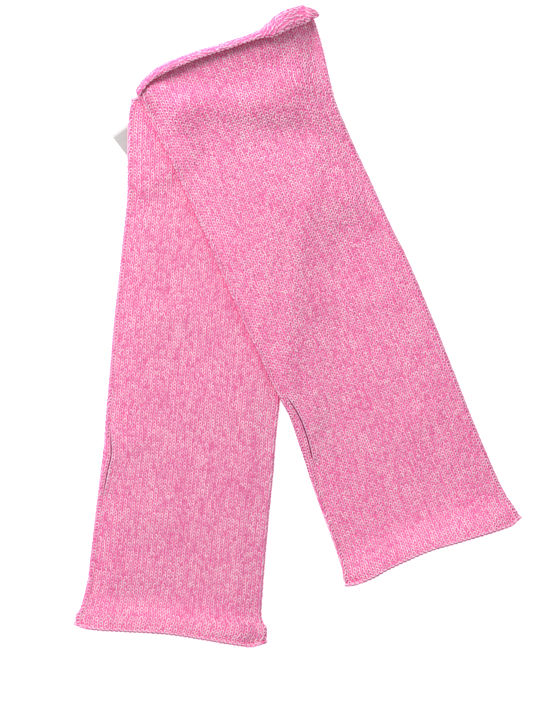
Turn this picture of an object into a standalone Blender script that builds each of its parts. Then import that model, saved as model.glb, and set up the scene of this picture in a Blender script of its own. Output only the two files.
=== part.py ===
"""A pair of knitted arm warmers laid flat, the upper one crossed over the lower one.

Each warmer is one tube of plain knitting, a panel that is folded round the arm and sewn along the
thumb side. Both ends are open and roll outwards, and the seam is left open for the thumb. The tube
is built as the middle surface of its wall and given its thickness by a Solidify modifier.

Tables and sizes are in millimetres, and each mesh is made in metres. +Z is up, +Y points to the arm
ends, and the origin is on the surface that the pair lies on, in the middle of the pair.
"""

import math
from collections import namedtuple

import bmesh
import bpy

MM = 0.001

# The cloth
WALL = 2.0
LAYER_GAP = 1.0
FRONT_SWELL = 0.9
SWELL_REACH = 14.0
CLEARANCE = 0.5
FOLD_RADIUS = (WALL + LAYER_GAP) / 2
TUBE_HEIGHT = 2 * WALL + LAYER_GAP

# How far from its cause the cloth comes back to the flat
END_LIFT_REACH = 18.0
DRAPE_INSET = 2.0
DRAPE_REACH = 32.0
# The share of its height that draped cloth loses over the shoulder, just outside the edge under it
SHOULDER_SHARE = 0.2
SHOULDER_REACH = 14.0
# Past the lower warmer's arm end the tube over it is puffed, and a step counts for this share of one
PAST_ARM_END = 0.34
LABEL_MARGIN = 6.0
LABEL_REACH = 12.0
RIDGE_REACH = 9.0
LIP_RISE = 0.8
LIP_REACH = 6.0
# The slit's opening from which its lip stands at its full rise
LIP_OPENING = 0.3

# The label, a doubled ribbon that lies under the lower warmer with one corner showing
LABEL_CORNER = (-104.2, 106.6)
LABEL_TURN = 37.5
LABEL_WIDTH = 25.0
LABEL_LENGTH = 28.0
LABEL_THICKNESS = 1.0
LABEL_EDGE_ROUND = 0.25

# Steps of the mesh round a tube and along it
FOLD_STEPS = 5
FRONT_STEPS = 12
FRONT_CROWDING = 1.4
BACK_STEPS = 12
HAND_CURL_STEPS = 4
NOMINAL_WIDTH = 100.0
NOMINAL_SEAM = 5.0

# along: from the hand edge. left, right: the outer edge of the cloth from the warmer's own axis.
Section = namedtuple("Section", "along left right")
# around: 0 at the left fold, 0.5 at the right fold and 0.75 in the middle of the back. rim: where
# the edge starts to curl. reach, rise: half axes of the curl. turn: degrees that it turns through.
Curl = namedtuple("Curl", "around rim reach rise turn")
# seam: from the left edge to the seam. opening: width of the thumb slit.
Slit = namedtuple("Slit", "along seam opening")
# A soft ridge of the front, or a trough where height is below 0. turn: from straight across.
Crease = namedtuple("Crease", "along across turn length width height")
# body_steps: rows between the slit and the arm end. arm_curl_steps: rows of the arm end's curl.
Warmer = namedtuple(
    "Warmer",
    "name hand_centre lean colour body_steps arm_curl_steps sections hand arm slit creases",
)

LOWER = Warmer(
    name="lower_warmer",
    hand_centre=(-71.5, -171.2),
    lean=5.85,
    colour=(0.86, 0.29, 0.46, 1.0),
    body_steps=12,
    arm_curl_steps=3,
    sections=(
        Section(0.0, 53.2, 52.6),
        Section(4.0, 53.8, 54.6),
        Section(8.0, 51.7, 54.2),
        Section(11.0, 51.1, 51.5),
        Section(16.0, 50.3, 50.2),
        Section(25.0, 49.2, 49.8),
        Section(55.0, 48.8, 49.1),
        Section(85.0, 48.3, 48.9),
        Section(100.0, 47.9, 48.8),
        Section(115.0, 48.5, 48.3),
        Section(145.0, 48.9, 48.4),
        Section(175.0, 49.3, 47.8),
        Section(205.0, 49.1, 47.2),
        Section(235.0, 49.0, 49.4),
        Section(265.0, 51.3, 52.4),
        Section(285.0, 52.7, 52.4),
        Section(297.0, 51.8, 51.6),
    ),
    hand=(
        Curl(0.000, 2.0, 2.0, 1.2, 90.0),
        Curl(0.020, 0.2, 1.7, 1.3, 120.0),
        Curl(0.060, -0.3, 1.5, 1.3, 75.0),
        Curl(0.130, 0.4, 1.5, 1.3, 70.0),
        Curl(0.250, 1.5, 1.5, 1.3, 75.0),
        Curl(0.340, 0.6, 1.5, 1.3, 80.0),
        Curl(0.420, -0.5, 1.5, 1.3, 85.0),
        Curl(0.465, -0.8, 1.7, 1.4, 110.0),
        Curl(0.485, 0.6, 2.0, 1.4, 120.0),
        Curl(0.500, 2.8, 2.0, 1.2, 90.0),
        Curl(0.515, 1.0, 1.3, 1.2, 140.0),
        Curl(0.750, 1.9, 1.2, 1.2, 140.0),
        Curl(0.985, 1.2, 1.3, 1.2, 140.0),
    ),
    arm=(
        Curl(0.000, 293.0, 1.2, 0.5, 70.0),
        Curl(0.030, 294.3, 1.4, 1.1, 110.0),
        Curl(0.250, 294.5, 1.4, 1.1, 110.0),
        Curl(0.470, 294.5, 1.4, 1.1, 110.0),
        Curl(0.500, 293.5, 1.4, 1.2, 110.0),
        Curl(0.530, 294.0, 1.2, 1.2, 100.0),
        Curl(0.970, 294.0, 1.2, 1.2, 100.0),
    ),
    slit=(
        Slit(60.0, 3.6, 0.0),
        Slit(72.0, 3.8, 0.0),
        Slit(78.0, 4.1, 0.45),
        Slit(88.0, 4.8, 0.5),
        Slit(95.0, 5.4, 0.5),
        Slit(102.0, 4.6, 0.45),
        Slit(113.0, 3.7, 0.0),
        Slit(125.0, 3.6, 0.0),
    ),
    creases=(
        Crease(-2.0, 0.0, 0.0, 60.0, 14.0, 3.2),
        Crease(30.0, -26.0, 8.0, 22.0, 9.0, 0.6),
        Crease(62.0, -18.0, -14.0, 20.0, 8.0, 0.6),
        Crease(104.0, -30.0, 28.0, 16.0, 6.0, 0.6),
        Crease(128.0, 12.0, -6.0, 30.0, 10.0, 0.6),
        Crease(176.0, -16.0, 10.0, 24.0, 9.0, 0.7),
        Crease(214.0, 8.0, -12.0, 22.0, 8.0, 0.5),
    ),
)

UPPER = Warmer(
    name="upper_warmer",
    hand_centre=(75.8, -125.2),
    lean=-22.37,
    colour=(0.87, 0.30, 0.47, 1.0),
    body_steps=18,
    arm_curl_steps=7,
    sections=(
        Section(0.0, 52.6, 51.9),
        Section(4.0, 53.2, 51.6),
        Section(8.0, 52.2, 50.6),
        Section(12.0, 51.4, 49.9),
        Section(25.0, 50.5, 48.8),
        Section(55.0, 49.3, 48.4),
        Section(85.0, 47.3, 48.9),
        Section(100.0, 46.4, 49.1),
        Section(115.0, 47.6, 49.3),
        Section(145.0, 49.0, 49.2),
        Section(160.0, 49.9, 48.8),
        Section(175.0, 50.3, 47.6),
        Section(205.0, 50.8, 46.5),
        Section(235.0, 52.0, 45.2),
        Section(250.0, 52.5, 45.0),
        Section(265.0, 53.5, 46.8),
        Section(280.0, 54.7, 49.4),
        Section(292.0, 55.0, 50.9),
        Section(303.0, 54.4, 51.6),
    ),
    hand=(
        Curl(0.000, 2.9, 2.0, 1.2, 90.0),
        Curl(0.018, 1.6, 2.0, 1.4, 140.0),
        Curl(0.060, 0.8, 1.5, 1.3, 80.0),
        Curl(0.130, 2.2, 1.5, 1.3, 75.0),
        Curl(0.230, 2.8, 1.5, 1.3, 70.0),
        Curl(0.320, 1.1, 1.5, 1.3, 75.0),
        Curl(0.400, -0.5, 1.5, 1.3, 80.0),
        Curl(0.470, -1.4, 1.7, 1.5, 105.0),
        Curl(0.500, 1.0, 2.2, 1.2, 110.0),
        Curl(0.515, 0.4, 1.3, 1.2, 140.0),
        Curl(0.750, 2.5, 1.2, 1.2, 140.0),
        Curl(0.985, 1.6, 1.3, 1.2, 140.0),
    ),
    arm=(
        Curl(0.000, 297.8, 2.6, 1.1, 220.0),
        Curl(0.014, 300.6, 2.4, 1.1, 220.0),
        Curl(0.040, 302.9, 2.3, 1.5, 215.0),
        Curl(0.070, 303.9, 2.7, 1.9, 215.0),
        Curl(0.110, 304.3, 2.8, 2.3, 212.0),
        Curl(0.160, 304.1, 2.7, 2.3, 208.0),
        Curl(0.220, 303.0, 2.5, 2.2, 205.0),
        Curl(0.270, 302.0, 2.4, 2.1, 205.0),
        Curl(0.310, 301.3, 2.3, 2.0, 200.0),
        Curl(0.345, 300.9, 2.7, 2.0, 205.0),
        Curl(0.375, 300.9, 4.4, 2.2, 222.0),
        Curl(0.405, 302.4, 5.4, 2.4, 230.0),
        Curl(0.440, 303.2, 5.6, 2.5, 232.0),
        Curl(0.480, 303.1, 5.5, 2.5, 228.0),
        Curl(0.500, 300.8, 3.0, 1.8, 190.0),
        Curl(0.512, 301.0, 1.3, 1.2, 150.0),
        Curl(0.750, 301.4, 1.2, 1.2, 150.0),
        Curl(0.985, 300.2, 1.2, 1.2, 140.0),
    ),
    slit=(
        Slit(58.0, 4.0, 0.0),
        Slit(70.5, 5.0, 0.0),
        Slit(75.0, 5.2, 0.5),
        Slit(80.0, 5.8, 0.6),
        Slit(87.0, 6.1, 0.6),
        Slit(94.0, 5.9, 0.6),
        Slit(101.0, 5.1, 0.6),
        Slit(107.0, 4.5, 0.5),
        Slit(112.0, 4.2, 0.0),
        Slit(125.0, 3.8, 0.0),
    ),
    creases=(
        Crease(-4.0, 6.0, 0.0, 64.0, 18.0, 5.0),
        Crease(70.0, 22.0, 12.0, 18.0, 8.0, 0.5),
        Crease(96.0, -32.0, 60.0, 20.0, 9.0, 1.2),
        Crease(150.0, 4.0, -20.0, 28.0, 9.0, 0.7),
        Crease(198.0, 34.0, -12.0, 24.0, 16.0, 3.2),
        Crease(244.0, 20.0, -8.0, 28.0, 12.0, -1.6),
        Crease(268.0, 18.0, -8.0, 34.0, 12.0, 3.0),
        Crease(302.0, 18.0, -8.0, 38.0, 26.0, 8.5),
        Crease(279.0, -42.0, 0.0, 18.0, 12.0, 3.8),
    ),
)


def ease(share):
    """1 at a share of 0 or less, 0 at 1 or more, and smooth between."""
    share = min(max(share, 0.0), 1.0)
    return 1.0 - share * share * (3.0 - 2.0 * share)


def blend(start, end, share):
    return start + (end - start) * share


def read_table(rows, at):
    """The row of a table at a value of its first column, on a smooth curve that never overshoots."""
    last = len(rows) - 1
    if at <= rows[0][0]:
        return rows[0]
    if at >= rows[last][0]:
        return rows[last]
    i = max(k for k in range(last) if rows[k][0] <= at)
    step = rows[i + 1][0] - rows[i][0]
    share = (at - rows[i][0]) / step

    def slope(k, column):
        """The curve's slope at row k, 0 at a peak and at either end of the table."""
        if k == 0 or k == last:
            return 0.0
        before = (rows[k][column] - rows[k - 1][column]) / (rows[k][0] - rows[k - 1][0])
        after = (rows[k + 1][column] - rows[k][column]) / (rows[k + 1][0] - rows[k][0])
        return 2.0 * before * after / (before + after) if before * after > 0.0 else 0.0

    values = [at]
    for column in range(1, len(rows[0])):
        start, end = rows[i][column], rows[i + 1][column]
        bend = slope(i, column) * share * (1.0 - share) ** 2
        bend -= slope(i + 1, column) * share**2 * (1.0 - share)
        values.append(blend(end, start, ease(share)) + bend * step)
    return type(rows[0])(*values)


def read_loop(rows, around):
    """read_table for a table that runs round the tube and comes back to its first row at 1."""
    around %= 1.0
    before = rows[-1]._replace(around=rows[-1].around - 1.0)
    after = [row._replace(around=row.around + 1.0) for row in rows[:2]]
    return read_table([before, *rows, *after], around)


def curl_depth(curl):
    """How far the curled edge stands out from the face of the wall beside it."""
    turn = math.radians(curl.turn)
    return curl.rise - (curl.rise + WALL / 2) * math.cos(turn) - WALL / 2


def place(warmer, across, along):
    lean = math.radians(warmer.lean)
    x = warmer.hand_centre[0] + across * math.cos(lean) + along * math.sin(lean)
    y = warmer.hand_centre[1] - across * math.sin(lean) + along * math.cos(lean)
    return x, y


def unplace(warmer, x, y):
    """The inverse of place."""
    lean = math.radians(warmer.lean)
    dx = x - warmer.hand_centre[0]
    dy = y - warmer.hand_centre[1]
    return dx * math.cos(lean) - dy * math.sin(lean), dx * math.sin(lean) + dy * math.cos(lean)


def end_lift(warmer, hand_rim, arm_rim, along):
    """How far the back's curled edges hold the tube off what it lies on."""
    hand = curl_depth(read_loop(warmer.hand, 0.75)) * ease((along - hand_rim) / END_LIFT_REACH)
    arm = curl_depth(read_loop(warmer.arm, 0.75)) * ease((arm_rim - along) / END_LIFT_REACH)
    return hand + arm


def crease_height(warmer, across, along):
    total = 0.0
    for crease in warmer.creases:
        turn = math.radians(crease.turn)
        dx = across - crease.across
        dy = along - crease.along
        beside = (dx * math.cos(turn) + dy * math.sin(turn)) / crease.length
        over = (dy * math.cos(turn) - dx * math.sin(turn)) / crease.width
        total += crease.height * math.exp(-beside * beside - over * over)
    return total


def label_lift(x, y):
    """The height to which the label raises the cloth over it."""
    turn = math.radians(LABEL_TURN)
    dx = x - LABEL_CORNER[0]
    dy = y - LABEL_CORNER[1]
    beside = dx * math.cos(turn) + dy * math.sin(turn)
    down = dx * math.sin(turn) - dy * math.cos(turn)
    outside = math.hypot(
        max(-beside, beside - LABEL_WIDTH, 0.0), max(-down, down - LABEL_LENGTH, 0.0)
    )
    return (LABEL_THICKNESS + CLEARANCE) * ease((outside - LABEL_MARGIN) / LABEL_REACH)


def height_over_lower(x, y):
    """The height at which cloth lies on the lower warmer, and falls from its edges to the floor."""
    across, along = unplace(LOWER, x, y)
    section = read_table(LOWER.sections, along)
    hand_rim = read_loop(LOWER.hand, 0.25).rim
    arm = read_loop(LOWER.arm, 0.25)
    top = TUBE_HEIGHT + CLEARANCE + label_lift(x, y) + crease_height(LOWER, across, along)
    from_edge = min(section.left + across, section.right - across)
    top += FRONT_SWELL * (1.0 - ease((from_edge - WALL / 2 - FOLD_RADIUS) / SWELL_REACH))
    top += end_lift(LOWER, hand_rim, arm.rim, along)
    top += curl_depth(arm) * ease((abs(along - arm.rim) - arm.reach) / RIDGE_REACH)
    past_arm = along - arm.rim - arm.reach - WALL / 2
    outside = math.hypot(
        max(DRAPE_INSET - from_edge, 0.0), max(-along, past_arm * PAST_ARM_END, 0.0)
    )
    shoulder = SHOULDER_SHARE * ease(outside / SHOULDER_REACH)
    return top * (shoulder + (1.0 - SHOULDER_SHARE) * ease(outside / DRAPE_REACH))


def ring_columns():
    """The points round a tube from the seam to the right fold, the back, the left fold and the seam."""
    columns = [("front", k / FRONT_STEPS) for k in range(FRONT_STEPS + 1)]
    columns += [("right", k / FOLD_STEPS) for k in range(1, FOLD_STEPS + 1)]
    columns += [("back", k / BACK_STEPS) for k in range(1, BACK_STEPS + 1)]
    columns += [("left", k / FOLD_STEPS) for k in range(1, FOLD_STEPS + 1)]
    return columns + [("strip", 1.0)]


def around_at(column):
    """Where a column lies round the tube, as the curl tables measure it."""
    part, share = column
    quarter = math.pi * FOLD_RADIUS / 2
    distance = {
        "front": blend(NOMINAL_SEAM, NOMINAL_WIDTH - quarter, share**FRONT_CROWDING),
        "right": NOMINAL_WIDTH - quarter + 2 * quarter * share,
        "back": blend(NOMINAL_WIDTH + quarter, 2 * NOMINAL_WIDTH - quarter, share),
        "left": 2 * NOMINAL_WIDTH - quarter + 2 * quarter * share,
        "strip": blend(quarter, NOMINAL_SEAM, share),
    }[part]
    return distance / (2 * NOMINAL_WIDTH) % 1.0


def ring_point(warmer, along, column):
    """A point of the flattened tube's middle surface, as across and height, and its outward way."""
    part, share = column
    section = read_table(warmer.sections, along)
    slit = read_table(warmer.slit, along)
    left = -section.left + WALL / 2 + FOLD_RADIUS
    right = section.right - WALL / 2 - FOLD_RADIUS
    seam = -section.left + slit.seam
    bottom = WALL / 2
    middle = bottom + FOLD_RADIUS
    if part == "back":
        return blend(right, left, share), bottom, 0.0, -1.0
    if part in ("left", "right"):
        centre = left if part == "left" else right
        angle = math.radians(90.0 - 180.0 * share - (180.0 if part == "left" else 0.0))
        out, up = math.cos(angle), math.sin(angle)
        return centre + FOLD_RADIUS * out, middle + FOLD_RADIUS * up, out, up
    top = middle + FOLD_RADIUS
    if part == "strip":
        return blend(left, seam - slit.opening / 2, share), top, 0.0, 1.0
    across = blend(seam + slit.opening / 2, right, share**FRONT_CROWDING)
    from_fold = min(across - left, right - across)
    raised = FRONT_SWELL + crease_height(warmer, across, along)
    top += raised * (1.0 - ease(from_fold / SWELL_REACH))
    open_share = min(slit.opening / LIP_OPENING, 1.0)
    top += LIP_RISE * open_share * ease((across - seam) / LIP_REACH)
    return across, top, 0.0, 1.0


def wall_point(warmer, row, column, height_below):
    """A point of the middle surface in metres. row is hand, flat or arm, and a share of it."""
    part, share = row
    around = around_at(column)
    hand = read_loop(warmer.hand, around)
    arm = read_loop(warmer.arm, around)
    along = {"hand": hand.rim, "flat": blend(hand.rim, arm.rim, share), "arm": arm.rim}[part]
    across, height, out, up = ring_point(warmer, along, column)
    height += end_lift(warmer, hand.rim, arm.rim, along)
    if part != "flat":
        curl = hand if part == "hand" else arm
        turn = math.radians(curl.turn) * share
        across += out * curl.rise * (1.0 - math.cos(turn))
        height += up * curl.rise * (1.0 - math.cos(turn))
        height = max(height, WALL / 2)
        along += (-1.0 if part == "hand" else 1.0) * curl.reach * math.sin(turn)
    x, y = place(warmer, across, along)
    return x * MM, y * MM, (height + height_below(x, y)) * MM


def tube_rows(warmer):
    """The rings of a tube from the free hand edge to the free arm edge."""
    slit_start = next(a for a, b in zip(warmer.slit, warmer.slit[1:]) if b.opening > 0).along
    slit_end = next(b for a, b in zip(warmer.slit[1:], warmer.slit[2:]) if b.opening == 0).along
    hand_rim = read_loop(warmer.hand, 0.25).rim
    arm_rim = read_loop(warmer.arm, 0.25).rim
    stops = [
        (hand_rim, 0),
        (hand_rim + END_LIFT_REACH, 6),
        (slit_start, 4),
        (slit_end, 8),
        (arm_rim - END_LIFT_REACH, warmer.body_steps),
        (arm_rim, 4),
    ]
    stations = [hand_rim]
    for (start, _), (end, steps) in zip(stops, stops[1:]):
        stations += [blend(start, end, k / steps) for k in range(1, steps + 1)]
    shares = [(along - hand_rim) / (arm_rim - hand_rim) for along in stations]
    rows = [("hand", k / HAND_CURL_STEPS) for k in range(HAND_CURL_STEPS, 0, -1)]
    rows += [("flat", share) for share in shares]
    steps = warmer.arm_curl_steps
    rows += [("arm", k / steps) for k in range(1, steps + 1)]
    first_open = HAND_CURL_STEPS + stations.index(slit_start) + 1
    last_open = HAND_CURL_STEPS + stations.index(slit_end) - 1
    return rows, range(first_open, last_open + 1)


def new_material(name, colour, roughness):
    material = bpy.data.materials.new(name)
    material.use_nodes = True
    shader = material.node_tree.nodes["Principled BSDF"]
    shader.inputs["Base Color"].default_value = colour
    shader.inputs["Roughness"].default_value = roughness
    shader.inputs["Metallic"].default_value = 0.0
    return material


def new_object(name, mesh_data, material, parent):
    mesh = bpy.data.meshes.new(name)
    mesh_data.to_mesh(mesh)
    mesh_data.free()
    mesh.materials.append(material)
    obj = bpy.data.objects.new(name, mesh)
    obj.parent = parent
    bpy.context.scene.collection.objects.link(obj)
    return obj


def make_warmer(warmer, height_below, parent):
    """One knitted tube, whose seam is open between the rows of the thumb slit."""
    rows, open_rows = tube_rows(warmer)
    columns = ring_columns()
    sheet = bmesh.new()
    grid = []
    for i, row in enumerate(rows):
        points = [wall_point(warmer, row, column, height_below) for column in columns]
        ring = [sheet.verts.new(point) for point in points[:-1]]
        ring.append(sheet.verts.new(points[-1]) if i in open_rows else ring[0])
        grid.append(ring)
    for lower_ring, upper_ring in zip(grid, grid[1:]):
        for j in range(len(columns) - 1):
            sheet.faces.new((lower_ring[j], lower_ring[j + 1], upper_ring[j + 1], upper_ring[j]))
    bmesh.ops.recalc_face_normals(sheet, faces=sheet.faces)
    obj = new_object(warmer.name, sheet, new_material(warmer.name, warmer.colour, 0.9), parent)
    obj.data.shade_smooth()
    wall = obj.modifiers.new("Wall", "SOLIDIFY")
    wall.thickness = WALL * MM
    wall.offset = 0.0
    wall.use_rim = True
    wall.use_even_offset = False
    return obj


def make_label(parent):
    """The doubled ribbon, with softened edges."""
    ribbon = bmesh.new()
    bmesh.ops.create_cube(ribbon, size=1.0)
    size = (LABEL_WIDTH * MM, LABEL_LENGTH * MM, LABEL_THICKNESS * MM)
    bmesh.ops.scale(ribbon, vec=size, verts=ribbon.verts)
    label = new_object("label", ribbon, new_material("label", (0.62, 0.59, 0.57, 1.0), 0.6), parent)
    turn = math.radians(LABEL_TURN)
    across = LABEL_WIDTH / 2
    down = LABEL_LENGTH / 2
    label.location = (
        (LABEL_CORNER[0] + across * math.cos(turn) + down * math.sin(turn)) * MM,
        (LABEL_CORNER[1] + across * math.sin(turn) - down * math.cos(turn)) * MM,
        LABEL_THICKNESS / 2 * MM,
    )
    label.rotation_euler = (0.0, 0.0, turn)
    edges = label.modifiers.new("Soft edges", "BEVEL")
    edges.width = LABEL_EDGE_ROUND * MM
    edges.segments = 1
    return label


def main():
    for obj in list(bpy.data.objects):
        bpy.data.objects.remove(obj, do_unlink=True)
    pair = bpy.data.objects.new("arm_warmers", None)
    bpy.context.scene.collection.objects.link(pair)
    make_label(pair)
    make_warmer(LOWER, label_lift, pair)
    make_warmer(UPPER, height_over_lower, pair)


main()
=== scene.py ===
import math
from collections import namedtuple

import bpy
import numpy as np
from bpy.props import FloatProperty, FloatVectorProperty, IntProperty, PointerProperty
from mathutils import Matrix, Vector


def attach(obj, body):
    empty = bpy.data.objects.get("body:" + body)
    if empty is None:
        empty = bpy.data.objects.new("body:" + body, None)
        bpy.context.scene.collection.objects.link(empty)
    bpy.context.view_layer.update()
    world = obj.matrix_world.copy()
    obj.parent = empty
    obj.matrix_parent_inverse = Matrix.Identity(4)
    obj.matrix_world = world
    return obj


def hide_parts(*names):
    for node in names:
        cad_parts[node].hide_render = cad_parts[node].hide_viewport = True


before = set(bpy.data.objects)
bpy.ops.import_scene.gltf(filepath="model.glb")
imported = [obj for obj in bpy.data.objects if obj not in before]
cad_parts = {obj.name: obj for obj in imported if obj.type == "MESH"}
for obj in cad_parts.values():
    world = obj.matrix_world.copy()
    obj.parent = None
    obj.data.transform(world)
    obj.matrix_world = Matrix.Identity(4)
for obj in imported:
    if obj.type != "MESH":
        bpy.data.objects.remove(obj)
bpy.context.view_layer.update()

bl_info = {
    "name": "Knitted arm warmers",
    "version": (1, 0, 0),
    "blender": (4, 5, 0),
    "location": "3D View > Sidebar > Arm warmers",
    "description": "Knits a pair of arm warmers stitch by stitch round their solids",
    "category": "Object",
}

# Tables and lengths below are in millimetres, and properties and meshes are in metres.
MM = 0.001

# The cloth as the solids have it
WALL = 2.0
LAYER_GAP = 1.0
FRONT_SWELL = 0.9
SWELL_REACH = 14.0
CLEARANCE = 0.5
FOLD_RADIUS = (WALL + LAYER_GAP) / 2
TUBE_HEIGHT = 2 * WALL + LAYER_GAP
END_LIFT_REACH = 18.0
DRAPE_INSET = 2.0
DRAPE_REACH = 32.0
SHOULDER_SHARE = 0.2
SHOULDER_REACH = 14.0
PAST_ARM_END = 0.34
LABEL_MARGIN = 6.0
LABEL_REACH = 12.0
RIDGE_REACH = 9.0
LIP_RISE = 0.8
LIP_REACH = 6.0
LABEL_CORNER = (-104.2, 106.6)
LABEL_TURN = 37.5
LABEL_WIDTH = 25.0
LABEL_LENGTH = 28.0
LABEL_THICKNESS = 1.0

# along: from the hand edge. left, right: the outer edge of the cloth from the warmer's own axis.
Section = namedtuple("Section", "along left right")
# around: 0 at the left fold, 0.5 at the right fold and 0.75 in the middle of the back. rim: where
# the edge starts to curl. reach, rise: half axes of the curl. turn: degrees that it turns through.
Curl = namedtuple("Curl", "around rim reach rise turn")
# seam: from the left edge to the seam. opening: width of the thumb slit.
Slit = namedtuple("Slit", "along seam opening")
# A soft ridge of the front, or a trough where height is below 0. turn: from straight across.
Crease = namedtuple("Crease", "along across turn length width height")
Warmer = namedtuple("Warmer", "name hand_centre lean sections hand arm slit creases")

LOWER = Warmer(
    name="lower",
    hand_centre=(-71.5, -171.2),
    lean=5.85,
    sections=(
        Section(0.0, 53.2, 52.6),
        Section(4.0, 53.8, 54.6),
        Section(8.0, 51.7, 54.2),
        Section(11.0, 51.1, 51.5),
        Section(16.0, 50.3, 50.2),
        Section(25.0, 49.2, 49.8),
        Section(55.0, 48.8, 49.1),
        Section(85.0, 48.3, 48.9),
        Section(100.0, 47.9, 48.8),
        Section(115.0, 48.5, 48.3),
        Section(145.0, 48.9, 48.4),
        Section(175.0, 49.3, 47.8),
        Section(205.0, 49.1, 47.2),
        Section(235.0, 49.0, 49.4),
        Section(265.0, 51.3, 52.4),
        Section(285.0, 52.7, 52.4),
        Section(297.0, 51.8, 51.6),
    ),
    hand=(
        Curl(0.000, 2.0, 2.0, 1.2, 90.0),
        Curl(0.020, 0.2, 1.7, 1.3, 120.0),
        Curl(0.060, -0.3, 1.5, 1.3, 75.0),
        Curl(0.130, 0.4, 1.5, 1.3, 70.0),
        Curl(0.250, 1.5, 1.5, 1.3, 75.0),
        Curl(0.340, 0.6, 1.5, 1.3, 80.0),
        Curl(0.420, -0.5, 1.5, 1.3, 85.0),
        Curl(0.465, -0.8, 1.7, 1.4, 110.0),
        Curl(0.485, 0.6, 2.0, 1.4, 120.0),
        Curl(0.500, 2.8, 2.0, 1.2, 90.0),
        Curl(0.515, 1.0, 1.3, 1.2, 140.0),
        Curl(0.750, 1.9, 1.2, 1.2, 140.0),
        Curl(0.985, 1.2, 1.3, 1.2, 140.0),
    ),
    arm=(
        Curl(0.000, 293.0, 1.2, 0.5, 70.0),
        Curl(0.030, 294.3, 1.4, 1.1, 110.0),
        Curl(0.250, 294.5, 1.4, 1.1, 110.0),
        Curl(0.470, 294.5, 1.4, 1.1, 110.0),
        Curl(0.500, 293.5, 1.4, 1.2, 110.0),
        Curl(0.530, 294.0, 1.2, 1.2, 100.0),
        Curl(0.970, 294.0, 1.2, 1.2, 100.0),
    ),
    slit=(
        Slit(60.0, 3.6, 0.0),
        Slit(72.0, 3.8, 0.0),
        Slit(78.0, 4.1, 0.45),
        Slit(88.0, 4.8, 0.5),
        Slit(95.0, 5.4, 0.5),
        Slit(102.0, 4.6, 0.45),
        Slit(113.0, 3.7, 0.0),
        Slit(125.0, 3.6, 0.0),
    ),
    creases=(
        Crease(-2.0, 0.0, 0.0, 60.0, 14.0, 3.2),
        Crease(30.0, -26.0, 8.0, 22.0, 9.0, 0.6),
        Crease(62.0, -18.0, -14.0, 20.0, 8.0, 0.6),
        Crease(104.0, -30.0, 28.0, 16.0, 6.0, 0.6),
        Crease(128.0, 12.0, -6.0, 30.0, 10.0, 0.6),
        Crease(176.0, -16.0, 10.0, 24.0, 9.0, 0.7),
        Crease(214.0, 8.0, -12.0, 22.0, 8.0, 0.5),
    ),
)

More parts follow.
